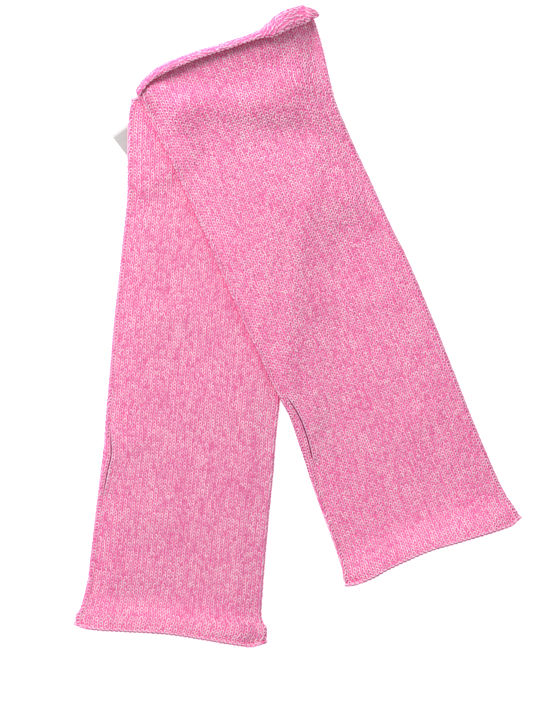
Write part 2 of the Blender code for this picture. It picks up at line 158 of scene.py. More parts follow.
UPPER = Warmer(
    name="upper",
    hand_centre=(75.8, -125.2),
    lean=-22.37,
    sections=(
        Section(0.0, 52.6, 51.9),
        Section(4.0, 53.2, 51.6),
        Section(8.0, 52.2, 50.6),
        Section(12.0, 51.4, 49.9),
        Section(25.0, 50.5, 48.8),
        Section(55.0, 49.3, 48.4),
        Section(85.0, 47.3, 48.9),
        Section(100.0, 46.4, 49.1),
        Section(115.0, 47.6, 49.3),
        Section(145.0, 49.0, 49.2),
        Section(160.0, 49.9, 48.8),
        Section(175.0, 50.3, 47.6),
        Section(205.0, 50.8, 46.5),
        Section(235.0, 52.0, 45.2),
        Section(250.0, 52.5, 45.0),
        Section(265.0, 53.5, 46.8),
        Section(280.0, 54.7, 49.4),
        Section(292.0, 55.0, 50.9),
        Section(303.0, 54.4, 51.6),
    ),
    hand=(
        Curl(0.000, 2.9, 2.0, 1.2, 90.0),
        Curl(0.018, 1.6, 2.0, 1.4, 140.0),
        Curl(0.060, 0.8, 1.5, 1.3, 80.0),
        Curl(0.130, 2.2, 1.5, 1.3, 75.0),
        Curl(0.230, 2.8, 1.5, 1.3, 70.0),
        Curl(0.320, 1.1, 1.5, 1.3, 75.0),
        Curl(0.400, -0.5, 1.5, 1.3, 80.0),
        Curl(0.470, -1.4, 1.7, 1.5, 105.0),
        Curl(0.500, 1.0, 2.2, 1.2, 110.0),
        Curl(0.515, 0.4, 1.3, 1.2, 140.0),
        Curl(0.750, 2.5, 1.2, 1.2, 140.0),
        Curl(0.985, 1.6, 1.3, 1.2, 140.0),
    ),
    arm=(
        Curl(0.000, 297.8, 2.6, 1.1, 220.0),
        Curl(0.014, 300.6, 2.4, 1.1, 220.0),
        Curl(0.040, 302.9, 2.3, 1.5, 215.0),
        Curl(0.070, 303.9, 2.7, 1.9, 215.0),
        Curl(0.110, 304.3, 2.8, 2.3, 212.0),
        Curl(0.160, 304.1, 2.7, 2.3, 208.0),
        Curl(0.220, 303.0, 2.5, 2.2, 205.0),
        Curl(0.270, 302.0, 2.4, 2.1, 205.0),
        Curl(0.310, 301.3, 2.3, 2.0, 200.0),
        Curl(0.345, 300.9, 2.7, 2.0, 205.0),
        Curl(0.375, 300.9, 4.4, 2.2, 222.0),
        Curl(0.405, 302.4, 5.4, 2.4, 230.0),
        Curl(0.440, 303.2, 5.6, 2.5, 232.0),
        Curl(0.480, 303.1, 5.5, 2.5, 228.0),
        Curl(0.500, 300.8, 3.0, 1.8, 190.0),
        Curl(0.512, 301.0, 1.3, 1.2, 150.0),
        Curl(0.750, 301.4, 1.2, 1.2, 150.0),
        Curl(0.985, 300.2, 1.2, 1.2, 140.0),
    ),
    slit=(
        Slit(58.0, 4.0, 0.0),
        Slit(70.5, 5.0, 0.0),
        Slit(75.0, 5.2, 0.5),
        Slit(80.0, 5.8, 0.6),
        Slit(87.0, 6.1, 0.6),
        Slit(94.0, 5.9, 0.6),
        Slit(101.0, 5.1, 0.6),
        Slit(107.0, 4.5, 0.5),
        Slit(112.0, 4.2, 0.0),
        Slit(125.0, 3.8, 0.0),
    ),
    creases=(
        Crease(-4.0, 6.0, 0.0, 64.0, 18.0, 5.0),
        Crease(70.0, 22.0, 12.0, 18.0, 8.0, 0.5),
        Crease(96.0, -32.0, 60.0, 20.0, 9.0, 1.2),
        Crease(150.0, 4.0, -20.0, 28.0, 9.0, 0.7),
        Crease(198.0, 34.0, -12.0, 24.0, 16.0, 3.2),
        Crease(244.0, 20.0, -8.0, 28.0, 12.0, -1.6),
        Crease(268.0, 18.0, -8.0, 34.0, 12.0, 3.0),
        Crease(302.0, 18.0, -8.0, 38.0, 26.0, 8.5),
        Crease(279.0, -42.0, 0.0, 18.0, 12.0, 3.8),
    ),
)

# The yarn's form, in millimetres from the middle of the wall
GROUND = 0.45
SEAM_AROUND = 0.02
SEAM_FOLLOW = 22.0
SEAM_DIP = 0.35
SEAM_DIP_REACH = 2.2
STRIP_DIP = 0.25
FULLY_OPEN = 0.3
LOOK_ROUND = 0.3
LOOK_ALONG = 0.2
YARN_PITCH = 1.3

# The bound edges: places along a loop, in wales or courses, and how far it stands off the wall
CHAIN_REACH = np.array((-0.2, 0.25, 0.7, 1.15))
CHAIN_SLANT = np.array((0.62, 0.5, 0.3, 0.0))[:, None]
CHAIN_BULGE = np.array((-0.1, 0.3, 0.3, -0.1))[:, None]
CHAIN_FULLNESS = 1.05
LIP_STEP = 1.3
LIP_REACHES = np.array((-0.5, 0.3, 1.1, 1.9))
LIP_BULGE = np.array((0.1, 0.35, 0.35, 0.1))[:, None]
LIP_WALE = 0.2
EDGE_TILT = 0.8
EDGE_TONE_SHARE = 0.6

# The label's ribbon
RIBBON_THICKNESS = 0.42
RIBBON_STEPS = 14
BEND_STEPS = 8
RIBBON_COLUMNS = (-1.0, -0.97, -0.94, -0.9, -0.6, -0.3, 0.0, 0.3, 0.6, 0.9, 0.94, 0.97, 1.0)

# Painted shade in hollows: how the ambient occlusion sets the share of the yarn's own colour against
# the deep pink of the painted shade
PAINTED_SHADE_GAIN = 2.3
PAINTED_SHADE_START = -0.62

# The studio's lights and floor, in metres
KEY_SIDE = (-0.64, 0.92)
KEY_RISE = 0.82
KEY_SIZE = 0.7
FILL_SIDE = (0.9, -0.7)
FILL_RISE = 0.9
FILL_SIZE = 1.4
FLOOR_HALF = 3.0
FLOOR_DROP = 0.0004

# A point of a stitch's yarn. across: in wales from its middle. along: in courses. rise: share of the
# yarn's relief. width: share of its half width.
YarnPoint = namedtuple("YarnPoint", "across along rise width")
# The right side of the knitting: both legs of a stitch, which meet towards the arm end.
FACE_STITCH = (
    YarnPoint(-0.43, -0.80, -0.2, 0.0),
    YarnPoint(-0.32, -0.30, 0.86, 1.0),
    YarnPoint(-0.155, 0.36, 1.0, 1.0),
    YarnPoint(0.155, 0.36, 1.0, 1.0),
    YarnPoint(0.32, -0.30, 0.86, 1.0),
    YarnPoint(0.43, -0.80, -0.2, 0.0),
)
UNDER_STITCH = (
    YarnPoint(-0.50, -0.74, -0.3, 0.0),
    YarnPoint(-0.34, -0.05, 0.85, 1.0),
    YarnPoint(0.0, 0.42, 0.95, 1.0),
    YarnPoint(0.34, -0.05, 0.85, 1.0),
    YarnPoint(0.50, -0.74, -0.3, 0.0),
)
# The loops that show on the wrong side lie across: heads in the wales, and sinkers between them.
HEAD_LOOP = (
    YarnPoint(-0.56, -0.46, -0.15, 0.0),
    YarnPoint(-0.22, 0.20, 0.95, 0.95),
    YarnPoint(0.22, 0.20, 0.95, 0.95),
    YarnPoint(0.56, -0.46, -0.15, 0.0),
)
SINKER_LOOP = (
    YarnPoint(-0.56, 0.46, -0.15, 0.0),
    YarnPoint(-0.22, -0.16, 0.9, 0.9),
    YarnPoint(0.22, -0.16, 0.9, 0.9),
    YarnPoint(0.56, 0.46, -0.15, 0.0),
)
# The outline of half a yarn: from side to side, and up from its root.
YARN_PROFILE = np.array(((-1.0, -0.12), (-0.55, 0.88), (0.55, 0.88), (1.0, -0.12)))


def ease(share):
    """1 at a share of 0 or less, 0 at 1 or more, and smooth between."""
    share = np.clip(share, 0.0, 1.0)
    return 1.0 - share * share * (3.0 - 2.0 * share)


def unit(vectors):
    return vectors / np.maximum(np.linalg.norm(vectors, axis=-1, keepdims=True), 1e-12)


class Table:
    """The columns of a table as smooth curves over its first one. They never overshoot a row."""

    def __init__(self, rows, loops=False):
        if loops:
            before = rows[-1]._replace(around=rows[-1].around - 1.0)
            after = [row._replace(around=row.around + 1.0) for row in rows[:2]]
            rows = [before, *rows, *after]
        table = np.array(rows, dtype=float)
        self.at = table[:, 0]
        self.values = table[:, 1:]
        slopes = np.diff(self.values, axis=0) / np.diff(self.at)[:, None]
        before, after = slopes[:-1], slopes[1:]
        same_way = before * after > 0.0
        total = np.where(same_way, before + after, 1.0)
        self.slopes = np.zeros_like(self.values)
        self.slopes[1:-1] = np.where(same_way, 2.0 * before * after / total, 0.0)

    def __call__(self, at):
        """The columns' values at these places, one array for each column."""
        at = np.clip(at, self.at[0], self.at[-1])
        i = np.clip(np.searchsorted(self.at, at, side="right") - 1, 0, len(self.at) - 2)
        step = (self.at[i + 1] - self.at[i])[..., None]
        share = (at - self.at[i])[..., None] / step
        start, end = self.values[i], self.values[i + 1]
        value = end + (start - end) * ease(share)
        value += self.slopes[i] * share * (1.0 - share) ** 2 * step
        value -= self.slopes[i + 1] * share**2 * (1.0 - share) * step
        return np.moveaxis(value, -1, 0)


def curl_depth(reach, rise, turn):
    """How far the curled edge stands out from the face of the wall beside it."""
    return rise - (rise + WALL / 2) * np.cos(np.radians(turn)) - WALL / 2


def place(warmer, across, along):
    lean = math.radians(warmer.lean)
    x = warmer.hand_centre[0] + across * math.cos(lean) + along * math.sin(lean)
    y = warmer.hand_centre[1] - across * math.sin(lean) + along * math.cos(lean)
    return x, y


def unplace(warmer, x, y):
    """The inverse of place."""
    lean = math.radians(warmer.lean)
    dx = x - warmer.hand_centre[0]
    dy = y - warmer.hand_centre[1]
    return dx * math.cos(lean) - dy * math.sin(lean), dx * math.sin(lean) + dy * math.cos(lean)


def crease_height(creases, across, along):
    total = np.zeros(np.broadcast(across, along).shape)
    for crease in creases:
        turn = math.radians(crease.turn)
        dx = across - crease.across
        dy = along - crease.along
        beside = (dx * math.cos(turn) + dy * math.sin(turn)) / crease.length
        over = (dy * math.cos(turn) - dx * math.sin(turn)) / crease.width
        total += crease.height * np.exp(-beside * beside - over * over)
    return total


def label_lift(x, y):
    """The height to which the label raises the cloth over it."""
    turn = math.radians(LABEL_TURN)
    dx = x - LABEL_CORNER[0]
    dy = y - LABEL_CORNER[1]
    beside = dx * math.cos(turn) + dy * math.sin(turn)
    down = dx * math.sin(turn) - dy * math.cos(turn)
    outside = np.hypot(
        np.maximum(np.maximum(-beside, beside - LABEL_WIDTH), 0.0),
        np.maximum(np.maximum(-down, down - LABEL_LENGTH), 0.0),
    )
    return (LABEL_THICKNESS + CLEARANCE) * ease((outside - LABEL_MARGIN) / LABEL_REACH)


def height_over_lower(x, y):
    """The height at which cloth lies on the lower warmer, and falls from its edges to the floor."""
    across, along = unplace(LOWER, x, y)
    left, right = Table(LOWER.sections)(along)
    hand_rim = Table(LOWER.hand, loops=True)(0.25)[0]
    arm_rim, arm_reach, arm_rise, arm_turn = Table(LOWER.arm, loops=True)(0.25)
    top = TUBE_HEIGHT + CLEARANCE + label_lift(x, y) + crease_height(LOWER.creases, across, along)
    from_fold = np.minimum(left + across, right - across) - WALL / 2 - FOLD_RADIUS
    top += FRONT_SWELL * (1.0 - ease(from_fold / SWELL_REACH))
    top += end_lift(LOWER, hand_rim, arm_rim, along)
    depth = curl_depth(arm_reach, arm_rise, arm_turn)
    top += depth * ease((np.abs(along - arm_rim) - arm_reach) / RIDGE_REACH)
    past_arm = along - arm_rim - arm_reach - WALL / 2
    outside = np.hypot(
        np.maximum(np.maximum(-left - across, across - right) + DRAPE_INSET, 0.0),
        np.maximum(np.maximum(-along, past_arm * PAST_ARM_END), 0.0),
    )
    shoulder = SHOULDER_SHARE * ease(outside / SHOULDER_REACH)
    return top * (shoulder + (1.0 - SHOULDER_SHARE) * ease(outside / DRAPE_REACH))


def end_lift(warmer, hand_rim, arm_rim, along):
    """How far the back's curled edges hold the tube off what it lies on."""
    hand = curl_depth(*Table(warmer.hand, loops=True)(0.75)[1:])
    arm = curl_depth(*Table(warmer.arm, loops=True)(0.75)[1:])
    lift = hand * ease((along - hand_rim) / END_LIFT_REACH)
    return lift + arm * ease((arm_rim - along) / END_LIFT_REACH)


class Tube:
    """A warmer's wall by its stitches. Wales are counted from the seam over the front, round the
    right fold, the back and the left fold to the seam again, and courses from the hand edge's rim.
    """

    def __init__(self, warmer, below, gauge):
        self.warmer = warmer
        self.below = below
        self.course = gauge.course_height / MM
        self.sections = Table(warmer.sections)
        self.slit = Table(warmer.slit)
        self.hand = Table(warmer.hand, loops=True)
        self.arm = Table(warmer.arm, loops=True)
        self.seam_start = self.hand(SEAM_AROUND)[0]
        self.seam_end = self.arm(SEAM_AROUND)[0]
        length = self.arm(0.25)[0] - self.hand(0.25)[0]
        self.courses = round(length / self.course)
        self.girth = float(self.girth_at(length / 2))
        self.wales = round(self.girth / (gauge.wale_width / MM))
        self.seam_rest = self.slit(0.0)[0]

    def girth_at(self, along):
        left, right = self.sections(along)
        flat = left + right - WALL - 2 * FOLD_RADIUS
        return 2 * flat + 2 * math.pi * FOLD_RADIUS

    def seam_at(self, course):
        """The seam's distance from the left edge, the slit's opening and the girth at a course."""
        share = np.clip(course / self.courses, 0.0, 1.0)
        along = self.seam_start + (self.seam_end - self.seam_start) * share
        seam, opening = self.slit(along)
        return seam, opening, self.girth_at(along)

    def around(self, wale, course):
        """The share of the way round at which a wale lies. Wales near the slit follow its lips."""
        seam, opening, girth = self.seam_at(course)
        from_seam = wale / self.wales * girth
        moved = seam - self.seam_rest
        at = self.seam_rest - WALL / 2 - FOLD_RADIUS + math.pi * FOLD_RADIUS / 2 + from_seam
        at = at + (moved + opening / 2) * ease(from_seam / SEAM_FOLLOW)
        at = at + (moved - opening / 2) * ease((girth - from_seam) / SEAM_FOLLOW)
        return at / girth

    def edge_courses(self, end, around):
        """How many courses of the curl lie past the rim, at the hand or the arm end."""
        rim, reach, rise, turn = (self.hand if end == "hand" else self.arm)(around % 1.0)
        return np.radians(turn) * (reach + rise) / 2 / self.course

    def middle(self, course, around):
        """Points of the wall's middle surface, in millimetres."""
        around = around % 1.0
        hand_rim, hand_reach, hand_rise, hand_turn = self.hand(around)
        arm_rim, arm_reach, arm_rise, arm_turn = self.arm(around)
        share = np.clip(course / self.courses, 0.0, 1.0)
        along = hand_rim + (arm_rim - hand_rim) * share
        across, height, out, up = self.ring(along, around, course)
        height = height + end_lift(self.warmer, hand_rim, arm_rim, along)
        for past, reach, rise, turn, way in (
            (-course, hand_reach, hand_rise, hand_turn, -1.0),
            (course - self.courses, arm_reach, arm_rise, arm_turn, 1.0),
        ):
            turned = np.clip(past, 0.0, None) * self.course * 2 / (reach + rise)
            turned = np.minimum(turned, np.radians(turn))
            across = across + out * rise * (1.0 - np.cos(turned))
            height = height + up * rise * (1.0 - np.cos(turned))
            along = along + way * reach * np.sin(turned)
        height = np.maximum(height, WALL / 2)
        x, y = place(self.warmer, across, along)
        return np.stack((x, y, height + self.below(x, y)), axis=-1)

    def ring(self, along, around, course):
        """A ring of the flattened tube, as across and height, and its outward way."""
        left, right = self.sections(along)
        left = -left + WALL / 2 + FOLD_RADIUS
        right = right - WALL / 2 - FOLD_RADIUS
        flat = right - left
        quarter = math.pi * FOLD_RADIUS / 2
        at = around * (2 * flat + 4 * quarter)
        on_front = np.clip(at - quarter, 0.0, flat)
        on_back = np.clip(at - 3 * quarter - flat, 0.0, flat)
        turned = np.clip(at, 0.0, quarter) + np.clip(at - quarter - flat, 0.0, 2 * quarter)
        turned += np.clip(at - 3 * quarter - 2 * flat, 0.0, quarter)
        angle = math.pi - turned / FOLD_RADIUS
        out, up = np.cos(angle), np.sin(angle)
        across = left + on_front - on_back + FOLD_RADIUS * out
        height = WALL / 2 + FOLD_RADIUS + FOLD_RADIUS * up
        is_front = (at > quarter) & (at < quarter + flat)
        inward = 1.0 - ease(np.minimum(on_front, flat - on_front) / SWELL_REACH)
        raised = FRONT_SWELL + crease_height(self.warmer.creases, across, along)
        seam, opening, _ = self.seam_at(course)
        from_seam = across - left - seam + WALL / 2 + FOLD_RADIUS
        open_share = np.minimum(opening / FULLY_OPEN, 1.0)
        lip = LIP_RISE * open_share * ease(from_seam / LIP_REACH) * (from_seam > 0.0)
        lip -= STRIP_DIP * open_share * ease(-from_seam / LIP_REACH) * (from_seam <= 0.0)
        groove = SEAM_DIP * (1.0 - open_share) * ease(np.abs(from_seam) / SEAM_DIP_REACH)
        height = height + np.where(is_front, raised * inward + lip - groove, 0.0)
        return across, height, out, up

    def look(self, course, around):
        """The wall's middle there, and the ways round the tube, along it and out of its face."""
        round_step = LOOK_ROUND / self.girth
        centre = self.middle(course, around)
        side = self.middle(course, around + round_step) - self.middle(course, around - round_step)
        up = self.middle(course + LOOK_ALONG, around) - self.middle(course - LOOK_ALONG, around)
        side, up = unit(side), unit(up)
        return centre, side, up, unit(np.cross(side, up))


def yarn_way(roots):
    """The way that each yarn runs at the rings between its ends."""
    run = unit(np.diff(roots, axis=1))
    return unit(run[:, :-1] + run[:, 1:])


def add_object(name, data):
    obj = bpy.data.objects.new(name, data)
    bpy.context.scene.collection.objects.link(obj)
    return obj


def yarn_mesh(name, runs, material):
    """Runs of half yarns joined into one mesh. A run gives each yarn's root line with both its ends,
    then the side, crown, half width and relief at the rings between, its place on the bake map and
    the tones of its two legs.
    """
    parts = [yarn_faces(*run) for run in runs]
    counts = np.cumsum([0] + [len(part[0]) for part in parts])
    points = np.concatenate([part[0] for part in parts])
    faces = np.concatenate([part[1] + start for part, start in zip(parts, counts)])
    depth, tone, twist, spot = (np.concatenate([p[k] for p in parts]) for k in range(2, 6))
    mesh = bpy.data.meshes.new(name)
    mesh.vertices.add(len(points))
    mesh.vertices.foreach_set("co", (points * MM).astype(np.float32).ravel())
    mesh.loops.add(faces.size)
    mesh.loops.foreach_set("vertex_index", faces.astype(np.int32).ravel())
    mesh.polygons.add(len(faces))
    mesh.polygons.foreach_set("loop_start", np.arange(0, faces.size, 3, dtype=np.int32))
    mesh.polygons.foreach_set("use_smooth", np.ones(len(faces), dtype=bool))
    for layer_name, values in (("OFBake", spot), ("Yarn", twist)):
        layer = mesh.uv_layers.new(name=layer_name)
        layer.uv.foreach_set("vector", values[faces].astype(np.float32).ravel())
    # The material paints shade by depth, the share of the yarn's relief at each point, and takes the
    # dye's lightness from tone
    for attribute_name, values in (("depth", depth), ("tone", tone)):
        attribute = mesh.attributes.new(attribute_name, "FLOAT", "POINT")
        attribute.data.foreach_set("value", values.astype(np.float32))
    mesh.materials.append(material)
    mesh.update()
    mesh.validate()
    return add_object(name, mesh)


def yarn_faces(roots, side, crown, half_width, relief, cell, tone):
    """Points, triangles and what the material reads of a run of yarns, all with the same rings."""
    count, lines = roots.shape[:2]
    rings = lines - 2
    corners = len(YARN_PROFILE)
    out, rise = YARN_PROFILE[:, 0], YARN_PROFILE[:, 1]
    ring = roots[:, 1:-1, None] + side[:, :, None] * (half_width[:, :, None] * out)[..., None]
    ring = ring + crown[:, :, None] * (relief[:, :, None] * rise)[..., None]
    points = np.concatenate([roots[:, :1], ring.reshape(count, -1, 3), roots[:, -1:]], axis=1)
    last = points.shape[1] - 1
    faces = [(0, k + 2, k + 1) for k in range(corners - 1)]
    for r in range(rings - 1):
        for k in range(1, corners):
            a = r * corners + k
            b = a + corners
            faces += [(a, a + 1, b + 1), (a, b + 1, b)]
    first = (rings - 1) * corners + 1
    faces += [(first + k, first + k + 1, last) for k in range(corners - 1)]
    faces = np.array(faces)[None] + (np.arange(count) * (last + 1))[:, None, None]
    # depth: the yarn's relief share at each point, low at its sides and ends, where the material
    # paints shade
    depth = np.tile(np.clip(rise, 0.0, 1.0), rings)
    depth = np.concatenate([[0.1], depth, [0.1]])
    steps = np.repeat(np.linspace(0.0, 1.0, lines)[1:-1], corners)
    steps = np.concatenate([[0.0], steps, [1.0]])
    round_it = np.concatenate([[0.5], np.tile(np.linspace(0.0, 1.0, corners), rings), [0.5]])
    length = np.linalg.norm(np.diff(roots, axis=1), axis=-1).sum(axis=1)
    twist = np.stack(
        np.broadcast_arrays(steps[None] * length[:, None] / YARN_PITCH, round_it[None]), axis=-1
    )
    start, size = cell
    spot = start[:, None] + size * np.stack((round_it, steps), axis=-1)[None]
    everyone = np.ones((count, last + 1))
    second_leg = (steps > 0.5)[None]
    tone = np.where(second_leg, tone[:, 1:], tone[:, :1])
    return (
        points.reshape(-1, 3),
        faces.reshape(-1, 3),
        (everyone * depth).ravel(),
        tone.ravel(),
        twist.reshape(-1, 2),
        spot.reshape(-1, 2),
    )


def yarn_tones(rng, courses, wales, gauge):
    """How light both legs of each stitch are, from 0 to 1."""
    fine = rng.normal(size=(courses, wales, 2))
    columns = rng.normal(size=(courses // 5 + 2, wales, 2))
    rows = np.linspace(0.0, len(columns) - 1.001, courses)
    down = (rows % 1.0)[:, None, None]
    column = (1 - down) * columns[rows.astype(int)] + down * columns[rows.astype(int) + 1]
    coarse = rng.normal(size=(courses // 6 + 2, wales // 5 + 2))
    rows = np.linspace(0.0, coarse.shape[0] - 1.001, courses)
    columns = np.linspace(0.0, coarse.shape[1] - 1.001, wales)
    i, j = rows.astype(int)[:, None], columns.astype(int)[None]
    down, over = ease(1.0 - rows % 1.0)[:, None], ease(1.0 - columns % 1.0)[None]
    clouds = (1 - down) * ((1 - over) * coarse[i, j] + over * coarse[i, j + 1])
    clouds += down * ((1 - over) * coarse[i + 1, j] + over * coarse[i + 1, j + 1])
    spread = fine * gauge.tone_spread + column * gauge.column_spread
    return np.clip(0.5 + spread + clouds[..., None] * gauge.cloud_spread, 0.0, 1.0)


def stitch_yarns(tube, gauge, shape, course, wale, rng, flank=1.0, stray=1.0):
    """One yarn for each stitch, whose middles course and wale give, along the points of shape.
    flank is 1 on the right side of the knitting and -1 on the wrong side.
    """
    count = len(course)
    across = np.array([p.across for p in shape])
    along = np.array([p.along for p in shape])
    wander = rng.normal(size=(count, 2)) * gauge.wander * stray
    wales = np.clip(wale[:, None] + across + wander[:, :1], 0.02, tube.wales - 0.02)
    courses = course[:, None] + along + wander[:, 1:]
    around = tube.around(wales, courses)
    margin = LOOK_ALONG + 0.05
    first = margin - tube.edge_courses("hand", around)
    last = tube.courses + tube.edge_courses("arm", around) - margin
    centre, _, _, out = tube.look(np.clip(courses, first, last), around)
    out = out * flank
    relief = gauge.relief / MM
    rise = np.array([p.rise for p in shape]) * relief
    root = np.full(len(shape), GROUND)
    root[[0, -1]] += rise[[0, -1]]
    roots = centre + out * root[:, None]
    crown = out[:, 1:-1]
    fat = 1.0 + rng.normal(size=(count, 1)) * gauge.fatness
    width = gauge.half_width / MM * np.array([p.width for p in shape[1:-1]]) * fat
    return roots, unit(np.cross(yarn_way(roots), crown)), crown, width, rise[1:-1] * fat


def stitches(tube, gauge, name, front, material):
    """The right side of one face of a warmer, stitch by stitch."""
    rng = np.random.default_rng(gauge.seed + 2 * (tube.warmer is UPPER) + front)
    shape = FACE_STITCH if front else UNDER_STITCH
    wales = np.arange(tube.wales) + 0.5
    on_face = (tube.around(wales, tube.courses / 2) % 1.0 < 0.5) == front
    courses = np.arange(-3, tube.courses + 3) + 0.5
    course, wale = np.meshgrid(courses, wales[on_face], indexing="ij")
    tone = yarn_tones(rng, *course.shape, gauge)
    # Painted highlight: the stitches of the first courses at the hand end are made lighter, fading
    # over the hem's courses
    tone = tone + gauge.hem_painted_light * ease(course / gauge.hem_light_courses)[..., None]
    column = np.broadcast_to(np.arange(course.shape[1]), course.shape)
    row = np.broadcast_to(np.arange(course.shape[0])[:, None], course.shape)
    around = tube.around(wale, course)
    past_hand = tube.edge_courses("hand", around) - gauge.edge_room
    past_arm = np.minimum(tube.edge_courses("arm", around) - gauge.edge_room, gauge.face_in_roll)
    shown = (course > -past_hand) & (course < tube.courses + past_arm)
    size = np.array((1.0 / course.shape[1], 1.0 / course.shape[0]))
    yarns = stitch_yarns(tube, gauge, shape, course[shown], wale[shown], rng)
    start = np.stack((column[shown], row[shown]), axis=-1) * size
    return yarn_mesh(name, [(*yarns, (start, size), tone[shown])], material)


def roll_loops(tube, gauge, name, end, material):
    """The loops of the wrong side that a curled edge turns up."""
    rng = np.random.default_rng(gauge.seed + 11 + 2 * (tube.warmer is UPPER) + (end == "arm"))
    way = -1.0 if end == "hand" else 1.0
    rim = 0.0 if end == "hand" else tube.courses
    most = math.ceil(tube.edge_courses(end, np.linspace(0.0, 1.0, 200)).max())
    steps = np.arange(most * 2) / 2
    course, wale = np.meshgrid(rim + way * steps, np.arange(tube.wales) + 0.5, indexing="ij")
    is_head = np.broadcast_to((np.arange(len(steps)) % 2 == 0)[:, None], course.shape)
    wale = np.where(is_head, wale, (wale + 0.5) % tube.wales)
    tone = yarn_tones(rng, *course.shape, gauge)
    past = np.abs(course - rim)
    edge = tube.edge_courses(end, tube.around(wale, course))
    shown = (past >= gauge.loops_from) & (past < edge - 0.1)
    size = np.array((1.0 / course.shape[1], 1.0 / course.shape[0]))
    row, column = np.indices(course.shape)
    runs = []
    for shape, mine in ((HEAD_LOOP, shown & is_head), (SINKER_LOOP, shown & ~is_head)):
        *form, width, rise = stitch_yarns(
            tube, gauge, shape, course[mine], wale[mine], rng, -1.0, gauge.roll_stray
        )
        form += [width * gauge.roll_fullness, rise * gauge.roll_relief]
        start = np.stack((column[mine], row[mine]), axis=-1) * size
        light = np.clip(tone[mine] + gauge.roll_tone, 0.0, 1.0)
        runs.append((*form, (start, size), light))
    return yarn_mesh(name, runs, material)


def bound_edges(tube, gauge, name, material):
    """The chain of loops that closes each free edge, and the plain selvedges of the slit's lips."""
    rng = np.random.default_rng(gauge.seed + 31 + (tube.warmer is UPPER))
    width = gauge.half_width / MM * CHAIN_FULLNESS
    relief = gauge.relief / MM
    runs = []
    wales = np.arange(tube.wales) + 0.5
    for end, way in (("hand", -1.0), ("arm", 1.0)):
        rim = 0.0 if end == "hand" else tube.courses
        for flank in (1.0, -1.0):
            wale = (wales[:, None] + CHAIN_REACH) % tube.wales
            around = tube.around(wale, np.full(wale.shape, rim))
            course = rim + way * (tube.edge_courses(end, around) - LOOK_ALONG)
            centre, _, up, out = tube.look(course, around)
            roots = centre + out * CHAIN_SLANT * flank + up * way * CHAIN_BULGE
            crown = unit(up[:, 1:-1] * way + out[:, 1:-1] * flank * EDGE_TILT)
            runs.append((roots, crown, width, gauge.edge_tone))
    share = np.linspace(0.0, 1.0, tube.courses * 4)
    _, opening, _ = tube.seam_at(share * tube.courses)
    open_at = share[opening > 0.05] * tube.courses
    start = np.arange(open_at.min() - 1.0, open_at.max(), LIP_STEP)
    for lip, wale in ((1.0, LIP_WALE), (-1.0, tube.wales - LIP_WALE)):
        course = start[:, None] + LIP_REACHES
        around = tube.around(np.full(course.shape, wale), course)
        centre, side_way, _, out = tube.look(course, around)
        roots = centre + out * LIP_BULGE
        crown = unit(out[:, 1:-1] - side_way[:, 1:-1] * lip * EDGE_TILT)
        # Painted shade: the lips' yarn is darkened so that the slit shows as a dark line
        runs.append((roots, crown, width * gauge.lip_fullness, gauge.lip_shade))
    made = []
    rows = len(runs)
    for k, (roots, crown, half, tone_and_lip_shade) in enumerate(runs):
        count = len(roots)
        side = unit(np.cross(yarn_way(roots), crown))
        fat = 1.0 + rng.normal(size=(count, 1)) * gauge.fatness
        even = np.ones((count, 2))
        size = np.array((1.0 / tube.wales, 1.0 / rows))
        start = np.stack((np.arange(count) / tube.wales, np.full(count, k / rows)), axis=-1)
        tone = yarn_tones(rng, 1, count, gauge)[0] * EDGE_TONE_SHARE + tone_and_lip_shade
        form = (roots, side, crown, even * half * fat, even * relief * fat)
        made.append((*form, (start, size), tone))
    return yarn_mesh(name, made, material)


def wall(tube, gauge, name, material):
    """The ground of the knitting between the stitches, as one closed wall with its slit."""
    steps = np.linspace(0.0, 1.0, gauge.curl_steps + 1)
    flat = np.arange(0, tube.courses + 0.5, gauge.courses_a_row)
    flat[-1] = tube.courses
    folds = [tube.wales * share for share in (0.5, 1.0)]
    wales = np.arange(0, tube.wales + 0.25, 0.5)
    near = np.min([np.abs(wales + 1.6 - fold) for fold in folds], axis=0) < 3.0
    wales = wales[near | (wales % 1.0 == 0.0)]
    rows = []
    for share in steps[:0:-1]:
        around = tube.around(wales, np.zeros(len(wales)))
        rows.append(-tube.edge_courses("hand", around) * share)
    rows += [np.full(len(wales), course) for course in flat]
    for share in steps[1:]:
        around = tube.around(wales, np.full(len(wales), float(tube.courses)))
        rows.append(tube.courses + tube.edge_courses("arm", around) * share)
    course = np.stack(rows)
    wale = np.broadcast_to(wales, course.shape)
    points = tube.middle(course, tube.around(wale, course))
    index = np.arange(course.size).reshape(course.shape)
    _, opening, _ = tube.seam_at(course[:, 0])
    index[opening < 0.02, -1] = index[opening < 0.02, 0]
    faces = np.stack((index[:-1, :-1], index[:-1, 1:], index[1:, 1:], index[1:, :-1]), axis=-1)
    up = np.broadcast_to(np.linspace(0.0, 1.0, len(rows))[:, None], course.shape)
    places = np.stack((wale / tube.wales, up), axis=-1)
    corners = np.stack(
        (places[:-1, :-1], places[:-1, 1:], places[1:, 1:], places[1:, :-1]), axis=2
    ).reshape(-1, 2)
    used, faces = np.unique(faces, return_inverse=True)
    mesh = bpy.data.meshes.new(name)
    mesh.from_pydata(points.reshape(-1, 3)[used] * MM, [], faces.reshape(-1, 4).tolist())
    mesh.shade_smooth()
    layer = mesh.uv_layers.new(name="Panel")
    layer.uv.foreach_set("vector", corners.astype(np.float32).ravel())
    mesh.materials.append(material)
    obj = add_object(name, mesh)
    thick = obj.modifiers.new("Thickness", "SOLIDIFY")
    thick.thickness = 2 * GROUND * MM
    thick.offset = 0.0
    thick.use_rim = True
    return obj


